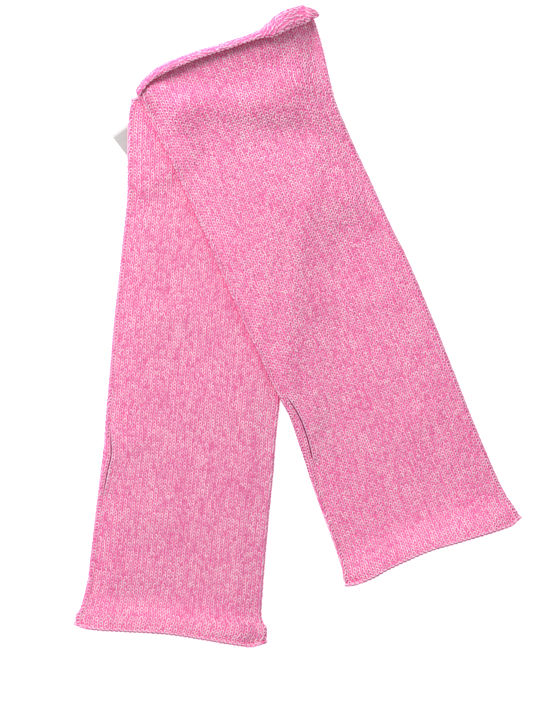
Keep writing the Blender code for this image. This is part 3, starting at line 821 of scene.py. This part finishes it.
def new_material(name):
    """A material's nodes, links and shader."""
    material = bpy.data.materials.new(name)
    material.use_nodes = True
    tree = material.node_tree
    return material, tree.nodes, tree.links, tree.nodes["Principled BSDF"]


def colour_ramp(nodes, links, value, stops):
    ramp = nodes.new("ShaderNodeValToRGB")
    elements = ramp.color_ramp.elements
    while len(elements) < len(stops):
        elements.new(0.5)
    for element, (position, colour) in zip(elements, stops):
        element.position = position
        element.color = (*colour, 1.0)
    links.new(value, ramp.inputs["Fac"])
    return ramp.outputs["Color"]


def maths(nodes, links, operation, *values):
    node = nodes.new("ShaderNodeMath")
    node.operation = operation
    for socket, value in zip(node.inputs, values):
        if isinstance(value, (int, float)):
            socket.default_value = value
        else:
            links.new(value, socket)
    return node.outputs["Value"]


def mixed_colour(nodes, links, factor, first, second):
    node = nodes.new("ShaderNodeMix")
    node.data_type = "RGBA"
    for socket, value in ((0, factor), (6, first), (7, second)):
        if isinstance(value, (int, float)):
            node.inputs[socket].default_value = value
        elif isinstance(value, tuple):
            node.inputs[socket].default_value = (*value, 1.0)
        else:
            links.new(value, node.inputs[socket])
    return node.outputs[2]


def noise(nodes, links, scale, detail, stretch=None):
    """Noise through the solid, in features of 1 m over scale."""
    point = nodes.new("ShaderNodeTexCoord").outputs["Object"]
    if stretch:
        mapping = nodes.new("ShaderNodeMapping")
        mapping.inputs["Scale"].default_value = stretch
        links.new(point, mapping.inputs["Vector"])
        point = mapping.outputs["Vector"]
    node = nodes.new("ShaderNodeTexNoise")
    node.inputs["Scale"].default_value = scale
    node.inputs["Detail"].default_value = detail
    node.inputs["Roughness"].default_value = 0.6
    links.new(point, node.inputs["Vector"])
    return node.outputs["Fac"]


def painted_hollow_shade(nodes, links, colours, dyed):
    """Painted shade: a deeper pink mixed in where ambient occlusion finds hollows, as under the curled
    rolls and between the stitches.
    """
    occlusion_node = nodes.new("ShaderNodeAmbientOcclusion")
    occlusion_node.samples = 6
    occlusion_node.inputs["Distance"].default_value = colours.hollow_shade_reach
    unshaded_share = maths(nodes, links, "MULTIPLY_ADD", occlusion_node.outputs["AO"], PAINTED_SHADE_GAIN, PAINTED_SHADE_START)
    return mixed_colour(nodes, links, unshaded_share, tuple(colours.hollow_shade), dyed)


def bumped(nodes, links, shader, height, distance, strength):
    bump = nodes.new("ShaderNodeBump")
    bump.inputs["Distance"].default_value = distance
    bump.inputs["Strength"].default_value = strength
    links.new(height, bump.inputs["Height"])
    links.new(bump.outputs["Normal"], shader.inputs["Normal"])


def woolly(shader, tint, weight):
    """The short fibres that stand off the yarn."""
    shader.inputs["Specular IOR Level"].default_value = 0.15
    shader.inputs["Sheen Weight"].default_value = weight
    shader.inputs["Sheen Roughness"].default_value = 0.55
    shader.inputs["Sheen Tint"].default_value = (*tint, 1.0)


def yarn_material(colours):
    """Wool of mixed pink fibres in two twisted plies, with painted shade: a deeper pink towards each
    yarn's sides and ends, where one stitch goes under the next, and in hollows.
    """
    material, nodes, links, shader = new_material("melange_yarn")
    tone = nodes.new("ShaderNodeAttribute")
    tone.attribute_name = "tone"
    depth = nodes.new("ShaderNodeAttribute")
    depth.attribute_name = "depth"
    fibres = noise(nodes, links, 2600.0, 3.0)
    tufts = noise(nodes, links, 520.0, 2.0)
    light = maths(nodes, links, "MULTIPLY_ADD", fibres, 0.7, -0.35)
    light = maths(nodes, links, "ADD", tone.outputs["Fac"], light)
    more = maths(nodes, links, "MULTIPLY_ADD", tufts, 0.5, -0.25)
    light = maths(nodes, links, "ADD", light, more)
    stops = (
        (0.0, colours.deep), (0.35, colours.middle), (0.65, colours.light), (1.0, colours.pale)
    )
    dyed = colour_ramp(nodes, links, light, [(at, tuple(colour)) for at, colour in stops])
    # Painted shade: a deeper pink towards the yarn's sides and ends
    shade = maths(nodes, links, "POWER", depth.outputs["Fac"], colours.shade_power)
    tucked_shade = mixed_colour(nodes, links, shade, tuple(colours.tucked_shade), dyed)
    links.new(painted_hollow_shade(nodes, links, colours, tucked_shade), shader.inputs["Base Color"])
    twist = nodes.new("ShaderNodeUVMap")
    twist.uv_map = "Yarn"
    parts = nodes.new("ShaderNodeSeparateXYZ")
    links.new(twist.outputs["UV"], parts.inputs["Vector"])
    turns = maths(nodes, links, "ADD", parts.outputs["X"], parts.outputs["Y"])
    plies = maths(nodes, links, "SINE", maths(nodes, links, "MULTIPLY", turns, 4 * math.pi))
    height = maths(nodes, links, "MULTIPLY_ADD", plies, 0.35, fibres)
    bumped(nodes, links, shader, height, 0.00016, 0.8)
    rough = maths(nodes, links, "MULTIPLY_ADD", fibres, 0.12, 0.84)
    links.new(rough, shader.inputs["Roughness"])
    woolly(shader, tuple(colours.sheen), 0.15)
    return material


def ground_with_gap_shade_material(colours):
    """The wrong side of the knitting and the ground between the stitches, in a deep pink that is
    partly painted shade between the stitches, with painted shade in hollows on top.
    """
    material, nodes, links, shader = new_material("knit_ground_painted_shade")
    fibres = noise(nodes, links, 1800.0, 3.0)
    stops = ((0.25, colours.ground), (0.8, colours.tucked_shade))
    dyed = colour_ramp(nodes, links, fibres, [(at, tuple(colour)) for at, colour in stops])
    links.new(painted_hollow_shade(nodes, links, colours, dyed), shader.inputs["Base Color"])
    bumped(nodes, links, shader, fibres, 0.0002, 0.8)
    rough = maths(nodes, links, "MULTIPLY_ADD", fibres, 0.1, 0.86)
    links.new(rough, shader.inputs["Roughness"])
    woolly(shader, tuple(colours.sheen), 0.1)
    return material


def ribbon_material(colours):
    """Satin ribbon: fine threads along it, crossed by finer ones."""
    material, nodes, links, shader = new_material("satin_ribbon")
    along = noise(nodes, links, 300.0, 2.0, (14.0, 1.0, 1.0))
    over = noise(nodes, links, 300.0, 2.0, (1.0, 14.0, 1.0))
    weave = maths(nodes, links, "MULTIPLY_ADD", along, 0.6, maths(nodes, links, "MULTIPLY", over, 0.4))
    light = tuple(colours.ribbon)
    dark = tuple(channel * 0.86 for channel in light)
    dyed = colour_ramp(nodes, links, weave, ((0.3, dark), (0.65, light)))
    links.new(dyed, shader.inputs["Base Color"])
    bumped(nodes, links, shader, weave, 0.00008, 0.6)
    rough = maths(nodes, links, "MULTIPLY_ADD", weave, 0.15, 0.4)
    links.new(rough, shader.inputs["Roughness"])
    shader.inputs["Sheen Weight"].default_value = 0.2
    return material


def paper_material(colours):
    material, nodes, links, shader = new_material("studio_paper")
    grain = noise(nodes, links, 400.0, 2.0)
    floor = tuple(colours.floor)
    links.new(
        mixed_colour(nodes, links, grain, tuple(c * 0.995 for c in floor), floor),
        shader.inputs["Base Color"],
    )
    shader.inputs["Roughness"].default_value = 0.95
    shader.inputs["Specular IOR Level"].default_value = 0.1
    shader.inputs["Emission Color"].default_value = (1.0, 1.0, 1.0, 1.0)
    shader.inputs["Emission Strength"].default_value = colours.floor_glow
    return material


def ribbon(name, colours):
    """The doubled ribbon of the label: one strip that is folded over, with a selvedge each side."""
    thick = RIBBON_THICKNESS
    half_width = LABEL_WIDTH / 2
    bend = (LABEL_THICKNESS - thick) / 2
    run = LABEL_LENGTH - bend - thick / 2
    middle = LABEL_THICKNESS / 2
    line = [(run * k / RIBBON_STEPS, middle - bend) for k in range(RIBBON_STEPS + 1)]
    for k in range(1, BEND_STEPS):
        angle = math.pi * k / BEND_STEPS
        line.append((run + bend * math.sin(angle), middle - bend * math.cos(angle)))
    line += [(run * k / RIBBON_STEPS, middle + bend) for k in range(RIBBON_STEPS, -1, -1)]
    points = [(x * half_width, -y, z) for y, z in line for x in RIBBON_COLUMNS]
    wide = len(RIBBON_COLUMNS)
    faces = [
        (r * wide + c, r * wide + c + 1, (r + 1) * wide + c + 1, (r + 1) * wide + c)
        for r in range(len(line) - 1)
        for c in range(wide - 1)
    ]
    mesh = bpy.data.meshes.new(name)
    mesh.from_pydata([Vector(p) * MM for p in points], [], faces)
    mesh.shade_smooth()
    turn = math.radians(LABEL_TURN)
    x = LABEL_CORNER[0] + half_width * math.cos(turn)
    y = LABEL_CORNER[1] + half_width * math.sin(turn)
    mesh.transform(Matrix.Translation(Vector((x, y, 0.0)) * MM) @ Matrix.Rotation(turn, 4, "Z"))
    mesh.materials.append(ribbon_material(colours))
    obj = add_object(name, mesh)
    thickness = obj.modifiers.new("Thickness", "SOLIDIFY")
    thickness.thickness = thick * MM
    thickness.offset = 0.0
    return obj


class KnitGauge(bpy.types.PropertyGroup):
    """The gauge of the knitting and how even it is."""

    wale_width: FloatProperty(
        name="Wale width", description="From one column of stitches to the next",
        default=0.00235, unit="LENGTH",
    )
    course_height: FloatProperty(
        name="Course height", description="From one row of stitches to the next",
        default=0.00171, unit="LENGTH",
    )
    half_width: FloatProperty(
        name="Yarn half width", description="Half the width of a stitch's leg",
        default=0.00041, unit="LENGTH",
    )
    relief: FloatProperty(
        name="Relief", description="How far the yarn stands up from the ground",
        default=0.00052, unit="LENGTH",
    )
    wander: FloatProperty(
        name="Wander", description="How far a leg strays, as a share of a stitch", default=0.06
    )
    fatness: FloatProperty(
        name="Uneven yarn", description="How much the yarn's width changes, as a share",
        default=0.09,
    )
    tone_spread: FloatProperty(
        name="Mixed tones", description="How much the dye differs from leg to leg", default=0.21
    )
    column_spread: FloatProperty(
        name="Streaks", description="How much the dye differs down a column of stitches",
        default=0.1,
    )
    cloud_spread: FloatProperty(
        name="Clouds", description="How much the dye differs over a few centimetres", default=0.06
    )
    edge_tone: FloatProperty(
        name="Edge tone", description="How much lighter the bound edges are", default=0.28
    )
    # Painted shade: how much darker the slit's lips are made
    lip_shade: FloatProperty(
        name="Lip tone", description="Added to the lightness of the slit's lips", default=-0.1
    )
    lip_fullness: FloatProperty(
        name="Lip fullness", description="Share of the width in the yarn along a slit's lips",
        default=1.2,
    )
    # Painted highlight: how much lighter the first courses at the hand end are made, and over how many
    # courses it fades
    hem_painted_light: FloatProperty(
        name="Hem tone", description="How much lighter the first courses at the hand are",
        default=0.14,
    )
    hem_light_courses: FloatProperty(
        name="Hem", description="Courses over which the hand end's lighter tone fades",
        default=11.0,
    )
    roll_tone: FloatProperty(
        name="Roll tone", description="Added to the lightness of a roll's loops", default=-0.1
    )
    roll_stray: FloatProperty(
        name="Roll stray", description="How much further those loops stray", default=2.4
    )
    roll_fullness: FloatProperty(
        name="Roll fullness", description="Share of the width in the loops that a roll shows",
        default=1.2,
    )
    roll_relief: FloatProperty(
        name="Roll relief", description="Share of the relief in those loops", default=0.85
    )
    edge_room: FloatProperty(
        name="Edge room", description="Courses kept free for the bound edge", default=0.3
    )
    face_in_roll: FloatProperty(
        name="Stitches in the roll", description="Courses of the right side inside a roll",
        default=3.0,
    )
    loops_from: FloatProperty(
        name="Loops from", description="Courses past the rim where the wrong side starts to show",
        default=0.4,
    )
    curl_steps: IntProperty(
        name="Curl steps", description="Rows of the ground in a curled edge", default=10
    )
    courses_a_row: IntProperty(
        name="Courses a row", description="Courses for each row of the ground", default=2
    )
    seed: IntProperty(name="Seed", description="Start of the uneven yarn", default=7)


class WoolColours(bpy.types.PropertyGroup):
    """The colours of the yarn, the ribbon and the studio's floor."""

    deep: FloatVectorProperty(
        name="Deep", description="The yarn's deepest pink", subtype="COLOR",
        default=(0.74, 0.26, 0.46),
    )
    middle: FloatVectorProperty(
        name="Middle", description="The yarn's middle pink", subtype="COLOR",
        default=(0.80, 0.47, 0.65),
    )
    light: FloatVectorProperty(
        name="Light", description="The yarn's light pink", subtype="COLOR",
        default=(0.86, 0.64, 0.76),
    )
    pale: FloatVectorProperty(
        name="Pale", description="The yarn's palest fibres", subtype="COLOR",
        default=(0.92, 0.78, 0.85),
    )
    # Painted shade: the deep pink of the yarn towards its sides and ends, also mixed into the ground
    tucked_shade: FloatVectorProperty(
        name="Tucked", description="The yarn where it goes under another", subtype="COLOR",
        default=(0.86, 0.14, 0.385),
    )
    # Partly painted shade: the cloth between the stitches is given a deeper pink than the yarn, for
    # the shade that falls between them
    ground: FloatVectorProperty(
        name="Ground", description="The cloth between the stitches", subtype="COLOR",
        default=(0.88, 0.125, 0.365),
    )
    # Painted shade: the deep pink that ambient occlusion mixes into hollows
    hollow_shade: FloatVectorProperty(
        name="Hollow", description="The wool in hollows, by light that came through it",
        subtype="COLOR", default=(0.96, 0.07, 0.33),
    )
    # How far ambient occlusion looks round each point for the hollows that get the painted shade
    hollow_shade_reach: FloatProperty(
        name="Hollow reach", description="How near the wool round a hollow lies",
        default=0.005, unit="LENGTH",
    )
    sheen: FloatVectorProperty(
        name="Sheen", description="The fibres that stand off the yarn", subtype="COLOR",
        default=(1.0, 0.62, 0.72),
    )
    ribbon: FloatVectorProperty(
        name="Ribbon", description="The label's ribbon", subtype="COLOR",
        default=(0.455, 0.45, 0.445),
    )
    floor: FloatVectorProperty(
        name="Floor", description="The studio's paper", subtype="COLOR",
        default=(0.93, 0.93, 0.93),
    )
    floor_glow: FloatProperty(
        name="Floor glow", description="The light that comes up through the paper", default=0.75
    )
    shade_power: FloatProperty(
        name="Shade", description="How fast the yarn deepens towards its sides", default=0.6
    )


class StudioSizes(bpy.types.PropertyGroup):
    """The camera over the pair, and the lights."""

    camera_height: FloatProperty(
        name="Camera height", description="From the floor to the camera", default=1.6,
        unit="LENGTH",
    )
    view_height: FloatProperty(
        name="View height", description="The height of the picture, at the pair", default=0.3982,
        unit="LENGTH",
    )
    view_x: FloatProperty(
        name="View across", description="The picture's middle, across", default=-0.0175,
        unit="LENGTH",
    )
    view_y: FloatProperty(
        name="View along", description="The picture's middle, along", default=-0.0163,
        unit="LENGTH",
    )
    key_power: FloatProperty(
        name="Key light", description="The power of the soft light from the upper left",
        default=24.0, unit="POWER",
    )
    fill_power: FloatProperty(
        name="Fill light", description="The power of the light from the lower right",
        default=3.0, unit="POWER",
    )
    sky: FloatProperty(
        name="Sky", description="The strength of the white light all round", default=0.45
    )


def area_light(name, side, rise, size, power):
    light = bpy.data.lights.new(name, "AREA")
    light.shape = "DISK"
    light.size = size
    light.energy = power
    obj = add_object(name, light)
    obj.location = (*side, rise)
    obj.rotation_mode = "QUATERNION"
    obj.rotation_quaternion = (-Vector(obj.location)).to_track_quat("-Z", "Y")


def tubes():
    gauge = bpy.context.scene.knit_gauge
    return (
        Tube(LOWER, label_lift, gauge),
        Tube(UPPER, height_over_lower, gauge),
    )


def cloth_material(name, make):
    return bpy.data.materials.get(name) or make(bpy.context.scene.wool_colours)


def finish_piece(obj):
    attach(obj, "root")


class ARMWARMERS_OT_walls(bpy.types.Operator):
    """Make the ground of both tubes, with their folds, curled edges and slits"""

    bl_idname = "armwarmers.walls"
    bl_label = "Tube walls"

    def execute(self, context):
        gauge = context.scene.knit_gauge
        material = cloth_material("knit_ground_painted_shade", ground_with_gap_shade_material)
        for tube in tubes():
            obj = wall(tube, gauge, tube.warmer.name + "_wall", material)
            finish_piece(obj)
            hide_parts(tube.warmer.name + "_warmer")
        return {"FINISHED"}


class ARMWARMERS_OT_stitches(bpy.types.Operator):
    """Knit the right side of both tubes, front and back"""

    bl_idname = "armwarmers.stitches"
    bl_label = "Stitches"

    def execute(self, context):
        gauge = context.scene.knit_gauge
        material = cloth_material("melange_yarn", yarn_material)
        for tube in tubes():
            for face in ("front", "back"):
                name = f"{tube.warmer.name}_{face}_stitches"
                finish_piece(stitches(tube, gauge, name, face == "front", material))
        return {"FINISHED"}


class ARMWARMERS_OT_rolls(bpy.types.Operator):
    """Turn up the wrong side's loops where the ends curl"""

    bl_idname = "armwarmers.rolls"
    bl_label = "Rolled ends"

    def execute(self, context):
        gauge = context.scene.knit_gauge
        material = cloth_material("melange_yarn", yarn_material)
        for tube in tubes():
            for end in ("hand", "arm"):
                name = f"{tube.warmer.name}_{end}_roll"
                finish_piece(roll_loops(tube, gauge, name, end, material))
        return {"FINISHED"}


class ARMWARMERS_OT_edges(bpy.types.Operator):
    """Close the free ends with a chain of loops, and the slits' lips with a selvedge"""

    bl_idname = "armwarmers.edges"
    bl_label = "Bound edges"

    def execute(self, context):
        gauge = context.scene.knit_gauge
        material = cloth_material("melange_yarn", yarn_material)
        for tube in tubes():
            finish_piece(bound_edges(tube, gauge, tube.warmer.name + "_edges", material))
        return {"FINISHED"}


class ARMWARMERS_OT_label(bpy.types.Operator):
    """Fold the blank ribbon that shows under the lower tube"""

    bl_idname = "armwarmers.label"
    bl_label = "Label"

    def execute(self, context):
        obj = ribbon("blank_label", context.scene.wool_colours)
        finish_piece(obj)
        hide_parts("label")
        return {"FINISHED"}


class ARMWARMERS_OT_cloth(bpy.types.Operator):
    """Make both tubes from their tables, and nothing more"""

    bl_idname = "armwarmers.cloth"
    bl_label = "Cloth sizes"

    def execute(self, context):
        for tube in tubes():
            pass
        return {"FINISHED"}


class ARMWARMERS_OT_studio(bpy.types.Operator):
    """Set up the pale floor, the soft lights and the camera straight above"""

    bl_idname = "armwarmers.studio"
    bl_label = "Studio"

    def execute(self, context):
        sizes = context.scene.studio_sizes
        scene = context.scene
        mesh = bpy.data.meshes.new("floor")
        half = FLOOR_HALF
        corners = [(-half, -half), (half, -half), (half, half), (-half, half)]
        mesh.from_pydata([(x, y, -FLOOR_DROP) for x, y in corners], [], [(0, 1, 2, 3)])
        mesh.materials.append(paper_material(scene.wool_colours))
        floor = add_object("floor", mesh)
        area_light("key", KEY_SIDE, KEY_RISE, KEY_SIZE, sizes.key_power)
        area_light("fill", FILL_SIDE, FILL_RISE, FILL_SIZE, sizes.fill_power)
        world = scene.world or bpy.data.worlds.new("studio")
        scene.world = world
        world.use_nodes = True
        background = world.node_tree.nodes["Background"]
        background.inputs["Color"].default_value = (1.0, 1.0, 1.0, 1.0)
        background.inputs["Strength"].default_value = sizes.sky
        scene.view_settings.view_transform = "Standard"
        camera = bpy.data.cameras.new("camera")
        camera.lens = camera.sensor_width * sizes.camera_height / sizes.view_height
        camera.clip_end = 10.0
        obj = add_object("camera", camera)
        obj.location = (sizes.view_x, sizes.view_y, sizes.camera_height)
        scene.camera = obj
        return {"FINISHED"}


class ARMWARMERS_PT_panel(bpy.types.Panel):
    """The steps that make the pair, in order"""

    bl_idname = "ARMWARMERS_PT_panel"
    bl_label = "Arm warmers"
    bl_space_type = "VIEW_3D"
    bl_region_type = "UI"
    bl_category = "Arm warmers"

    def draw(self, context):
        for step in STEPS:
            self.layout.operator(step.bl_idname)
        for group in ("knit_gauge", "wool_colours", "studio_sizes"):
            box = self.layout.box()
            owner = getattr(context.scene, group)
            for name in owner.__annotations__:
                box.prop(owner, name)


STEPS = (
    ARMWARMERS_OT_studio,
    ARMWARMERS_OT_walls,
    ARMWARMERS_OT_stitches,
    ARMWARMERS_OT_rolls,
    ARMWARMERS_OT_edges,
    ARMWARMERS_OT_label,
    ARMWARMERS_OT_cloth,
)
CLASSES = (KnitGauge, WoolColours, StudioSizes, *STEPS, ARMWARMERS_PT_panel)


def register():
    for cls in CLASSES:
        bpy.utils.register_class(cls)
    bpy.types.Scene.knit_gauge = PointerProperty(type=KnitGauge)
    bpy.types.Scene.wool_colours = PointerProperty(type=WoolColours)
    bpy.types.Scene.studio_sizes = PointerProperty(type=StudioSizes)


def unregister():
    del bpy.types.Scene.studio_sizes
    del bpy.types.Scene.wool_colours
    del bpy.types.Scene.knit_gauge
    for cls in reversed(CLASSES):
        bpy.utils.unregister_class(cls)


def main():
    register()
    bpy.ops.armwarmers.studio()
    bpy.ops.armwarmers.walls()
    bpy.ops.armwarmers.stitches()
    bpy.ops.armwarmers.rolls()
    bpy.ops.armwarmers.edges()
    bpy.ops.armwarmers.label()
    bpy.ops.armwarmers.cloth()


if __name__ == "__main__":
    main()
